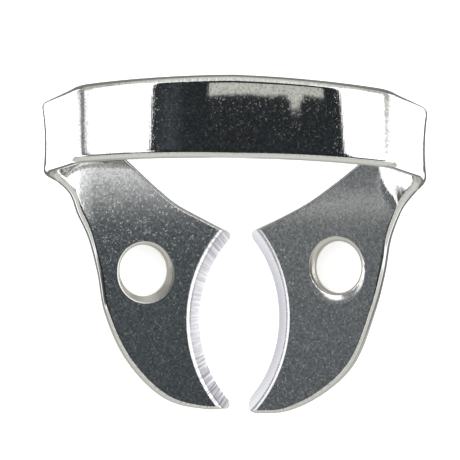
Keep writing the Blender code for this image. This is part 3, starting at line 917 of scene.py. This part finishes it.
def makeWorld():
    # a white room, with a grey wall behind the table, a window frame and a dark slot on the left
    world = bpy.data.worlds.new("softRoom")
    world.use_nodes = True
    tree = world.node_tree
    background = tree.nodes["Background"]
    direction = addNode(tree, "ShaderNodeTexCoord").outputs["Generated"]
    parts = addNode(tree, "ShaderNodeSeparateXYZ", {0: direction}).outputs
    x, y, z = parts["X"], parts["Y"], parts["Z"]
    r = studio
    soft = {key: softBox(tree, part, *r[key]) for key, part in (
        ("backX", x), ("sideY", y), ("sideZ", z), ("frameX", x), ("frameY", y), ("slotY", y))}
    backHigh, frontShare = (
        addNode(tree, "ShaderNodeMapRange", {"Value": y, "From Min": r[key][0], "From Max": r[key][1]},
                interpolation_type="SMOOTHSTEP") for key in ("backY", "frontY"))
    slotLeft, low = (
        addNode(tree, "ShaderNodeMapRange", {"Value": part, "From Min": r[key][0], "From Max": r[key][1]})
        for key, part in (("slotX", x), ("backZ", z)))
    backShare, sideBack, frameShare, slotShare = (
        addNode(tree, "ShaderNodeMath", {0: one, 1: other}, operation="MULTIPLY")
        for one, other in ((backHigh, soft["backX"]), (soft["sideY"], soft["sideZ"]),
                           (soft["frameX"], soft["frameY"]), (soft["slotY"], slotLeft)))
    wall = addNode(tree, "ShaderNodeMix", {0: low, 6: hexColor(r["backLow"]), 7: hexColor(r["back"])},
                   data_type="RGBA").outputs[2]
    color = addNode(tree, "ShaderNodeMix", {0: frontShare, 6: hexColor("#ffffff"),
                                            7: hexColor(r["front"])}, data_type="RGBA").outputs[2]
    for share, tone in ((sideBack, hexColor(r["backLow"])), (backShare, wall),
                        (frameShare, hexColor(r["frame"])), (slotShare, hexColor(r["slot"]))):
        color = addNode(tree, "ShaderNodeMix", {0: share, 6: color, 7: tone}, data_type="RGBA").outputs[2]
    feed(tree, background, {"Color": color, "Strength": r["room"]})
    bpy.context.scene.world = world


table = {
    "glow": 2.4,
    "behind": "#5b5b59",       # darkens behind the clamp
    # painted shadow right below the clamp, paler than the band under its outline
    "below": "#83827e",
    "outline": "#545457",      # painted shadow, close under the folds and the bow
    "front": "#91918e",
    # where the painted shadow lies: a dark band close under the clamp's outline, a paler patch right below
    # it
    "underX": (-0.01, 0.0205, 0.0012),   # low, high and softness, like the other places
    "underY": (-0.0115, 0.0185, 0.002),
    "narrower": 0.0045,        # beside the jaws, where it is less wide than beside the folds
    "innerX": (-0.0122, 0.0122, 0.0010),
    "innerY": (-0.0115, 0.0085, 0.0025),
    "gapLightLeft": "#cacacc",      # painted light between the jaws, where light comes through
    "gapLightRight": "#9a9a9e",
    "gapX": (-0.0034, 0.0030, 0.0006),
    "gapY": (-0.0075, 0.0075, 0.001),
    "fanSlope": -0.85,         # the dark behind spreads out like a fan
    "fan": (-0.002, 0.004),
    "frontY": (0.002, -0.004),
    "gapShade": (-0.0015, 0.0008),
    "narrowY": (0.001, 0.006),
}


def tableToneShadowAndLight():
    # the table as the steel mirrors it: white to the sides, pale in front, grey behind, with painted shadow
    # close under and right below the clamp and painted light through the gap between the jaws
    t = table
    material, tree, parts = glowMaterial("tableToneShadowAndLight")
    sideways = addNode(tree, "ShaderNodeMath", {0: parts["X"]}, operation="ABSOLUTE")
    narrow = addNode(tree, "ShaderNodeMapRange", {"Value": parts["Y"],
                                                  "From Min": t["narrowY"][0], "From Max": t["narrowY"][1],
                                                  "To Min": t["narrower"], "To Max": 0.0})
    widened = addNode(tree, "ShaderNodeMath", {0: sideways, 1: narrow}, operation="ADD")
    below, inner, gap = (
        addNode(tree, "ShaderNodeMath", {0: softBox(tree, part, *t[name + "X"]),
                                         1: softBox(tree, parts["Y"], *t[name + "Y"])},
                operation="MULTIPLY")
        for name, part in (("under", widened), ("inner", parts["X"]), ("gap", parts["X"])))
    fan = addNode(tree, "ShaderNodeMath", {0: sideways, 1: t["fanSlope"], 2: parts["Y"]},
                  operation="MULTIPLY_ADD")
    fanShare, frontShare, across = (
        addNode(tree, "ShaderNodeMapRange", {"Value": part, "From Min": t[key][0], "From Max": t[key][1]})
        for part, key in ((fan, "fan"), (parts["Y"], "frontY"), (parts["X"], "gapShade")))
    color = addNode(tree, "ShaderNodeMix", {0: frontShare, 6: hexColor("#ffffff"),
                                            7: hexColor(t["front"])}, data_type="RGBA").outputs[2]
    # grey behind the clamp, then the painted shadow: the dark band close under its outline and the paler
    # patch right below it
    for share, tone in ((fanShare, t["behind"]), (below, t["outline"]), (inner, t["below"])):
        color = addNode(tree, "ShaderNodeMix", {0: share, 6: color, 7: hexColor(tone)},
                        data_type="RGBA").outputs[2]
    # painted light on the mirrored table between the jaws, paler to the left
    paintedGapLight = addNode(tree, "ShaderNodeMix", {0: across, 6: hexColor(t["gapLightLeft"]),
                                               7: hexColor(t["gapLightRight"])}, data_type="RGBA").outputs[2]
    color = addNode(tree, "ShaderNodeMix", {0: gap, 6: color, 7: paintedGapLight}, data_type="RGBA").outputs[2]
    glow = addNode(tree, "ShaderNodeEmission", {"Color": color, "Strength": t["glow"]})
    addNode(tree, "ShaderNodeOutputMaterial", {"Surface": glow})
    return material


def makeStudio():
    bpy.context.scene.view_settings.view_transform = "Standard"
    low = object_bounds()[0].z
    half = studio["half"]
    paper = bpy.data.materials.new("whitePaper")
    paper.use_nodes = True
    feed(paper.node_tree, paper.node_tree.nodes["Principled BSDF"],
         {"Base Color": hexColor(studio["paper"]), "Roughness": 0.9, "Emission Color": (1, 1, 1, 1),
          "Emission Strength": studio["paperGlow"]})
    floor = flatSquare("floor", (-half, -half), (half, half), low, paper)
    floor.visible_glossy = False
    # a glowing table seen only in the steel, with painted shadow under the clamp
    mirrored = flatSquare("table", (-half, -half), (half, half), low - studio["tableGap"], tableToneShadowAndLight())
    onlyMirrored(mirrored)
    for order, name in enumerate(cards):
        makeCard(name, order)
    makeWorld()


makeStudio()
print("camera and studio ready")
